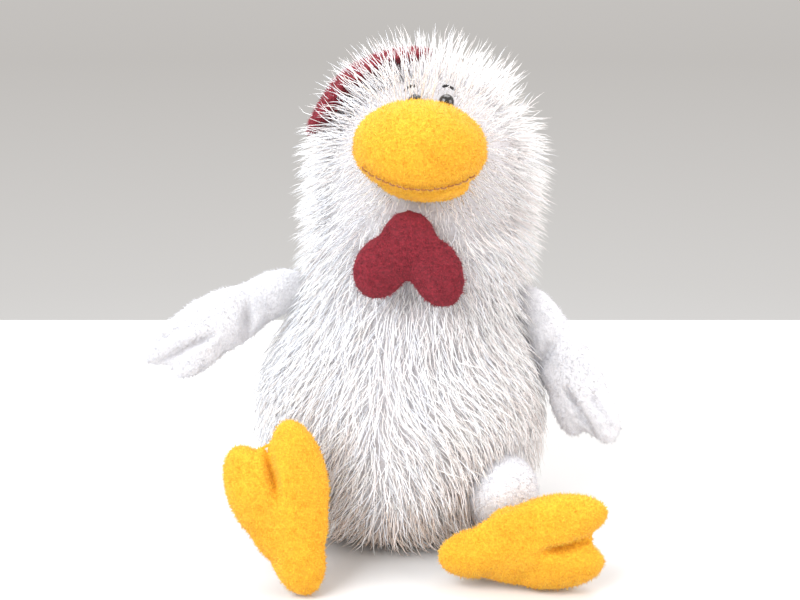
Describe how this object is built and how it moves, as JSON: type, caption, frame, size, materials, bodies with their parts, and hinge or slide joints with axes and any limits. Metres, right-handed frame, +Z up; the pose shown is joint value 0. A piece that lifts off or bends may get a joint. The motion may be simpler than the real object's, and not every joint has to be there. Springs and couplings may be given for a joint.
{
  "type": "plush chicken toy",
  "caption": "Seated stuffed toy chicken with shaggy white pile, golden bill and feet, crimson comb and wattle, and hinged head, wings, legs and feet.",
  "frame": {"origin": "centre of the seat's flat underside, on the surface the toy sits on", "axes": "+Z up; the toy faces -Y, so its own left side is +X"},
  "size_m": [0.2427, 0.1736, 0.2463],
  "materials": {
    "white_long_pile": "matte",
    "white_short_pile": "matte",
    "golden_short_pile": "matte",
    "crimson_short_pile": "matte",
    "fibre_filling": "matte",
    "pellet_cloth": "matte",
    "pellets": "satin",
    "eye_gloss": "gloss",
    "washer_plastic": "satin",
    "black_thread": "matte",
    "brown_thread": "matte"
  },
  "bodies": {
    "torso": {"torso_front_left_panel": "white_long_pile", "torso_front_right_panel": "white_long_pile", "torso_back_left_panel": "white_long_pile", "torso_back_right_panel": "white_long_pile", "seat_panel": "white_short_pile", "torso_filling": "fibre_filling", "seat_pellet_bag": "pellet_cloth", "seat_pellets": "pellets"},
    "head": {"head_front_left_panel": "white_long_pile", "head_front_right_panel": "white_long_pile", "head_back_left_panel": "white_long_pile", "head_back_right_panel": "white_long_pile", "head_filling": "fibre_filling", "left_eye": "eye_gloss", "right_eye": "eye_gloss", "left_eye_lock_washer": "washer_plastic", "right_eye_lock_washer": "washer_plastic", "left_eyebrow_stitch": "black_thread", "right_eyebrow_stitch": "black_thread", "upper_bill_skin": "golden_short_pile", "upper_bill_filling": "fibre_filling", "lower_bill_skin": "golden_short_pile", "lower_bill_filling": "fibre_filling", "mouth_stitches": "brown_thread"},
    "comb": {"comb_top_panel": "crimson_short_pile", "comb_under_panel": "crimson_short_pile", "comb_filling": "fibre_filling"},
    "wattle": {"wattle_front_panel": "crimson_short_pile", "wattle_back_panel": "crimson_short_pile", "wattle_filling": "fibre_filling"},
    "left_wing": {"left_wing_front_panel": "white_short_pile", "left_wing_back_panel": "white_short_pile", "left_wing_filling": "fibre_filling"},
    "right_wing": {"right_wing_front_panel": "white_short_pile", "right_wing_back_panel": "white_short_pile", "right_wing_filling": "fibre_filling"},
    "left_leg": {"left_leg_sleeve": "white_short_pile", "left_leg_filling": "fibre_filling"},
    "right_leg": {"right_leg_sleeve": "white_short_pile", "right_leg_filling": "fibre_filling"},
    "left_foot": {"left_foot_sole_panel": "golden_short_pile", "left_foot_instep_panel": "golden_short_pile", "left_foot_filling": "fibre_filling", "left_ankle_cuff": "golden_short_pile"},
    "right_foot": {"right_foot_sole_panel": "golden_short_pile", "right_foot_instep_panel": "golden_short_pile", "right_foot_filling": "fibre_filling", "right_ankle_cuff": "golden_short_pile"}
  },
  "joints": [
    {"name": "neck_nod", "type": "hinge", "parent": "torso", "child": "head", "pos_m": [0.005, 0, 0.112], "axis": [1, 0, 0], "range_deg": [-8, 8]},
    {"name": "comb_lift", "type": "hinge", "parent": "head", "child": "comb", "pos_m": [0.022, 0.013, 0.2405], "axis": [0, 1, 0], "range_deg": [0, 80]},
    {"name": "wattle_swing", "type": "hinge", "parent": "head", "child": "wattle", "pos_m": [0.004, -0.055, 0.1723], "axis": [-1, 0, 0], "range_deg": [0, 60]},
    {"name": "left_wing_raise", "type": "hinge", "parent": "torso", "child": "left_wing", "pos_m": [0.0635, -0.01, 0.124], "axis": [0, -1, 0], "range_deg": [0, 110]},
    {"name": "right_wing_raise", "type": "hinge", "parent": "torso", "child": "right_wing", "pos_m": [-0.051, -0.009, 0.13], "axis": [0, 1, 0], "range_deg": [-15, 60]},
    {"name": "left_hip_raise", "type": "hinge", "parent": "torso", "child": "left_leg", "pos_m": [0.044, -0.036, 0.038], "axis": [-0.9371, -0.349, 0], "range_deg": [-25, 20]},
    {"name": "right_hip_raise", "type": "hinge", "parent": "torso", "child": "right_leg", "pos_m": [-0.047, -0.036, 0.038], "axis": [-0.9579, 0.287, 0], "range_deg": [-25, 20]},
    {"name": "left_ankle_flex", "type": "hinge", "parent": "left_leg", "child": "left_foot", "pos_m": [0.0554, -0.0708, 0.028], "axis": [-0.1576, -0.0723, 0.9849], "range_deg": [-15, 20]},
    {"name": "right_ankle_flex", "type": "hinge", "parent": "right_leg", "child": "right_foot", "pos_m": [-0.0568, -0.071, 0.038], "axis": [-0.9658, -0.045, -0.2552], "range_deg": [-15, 12]}
  ]
}
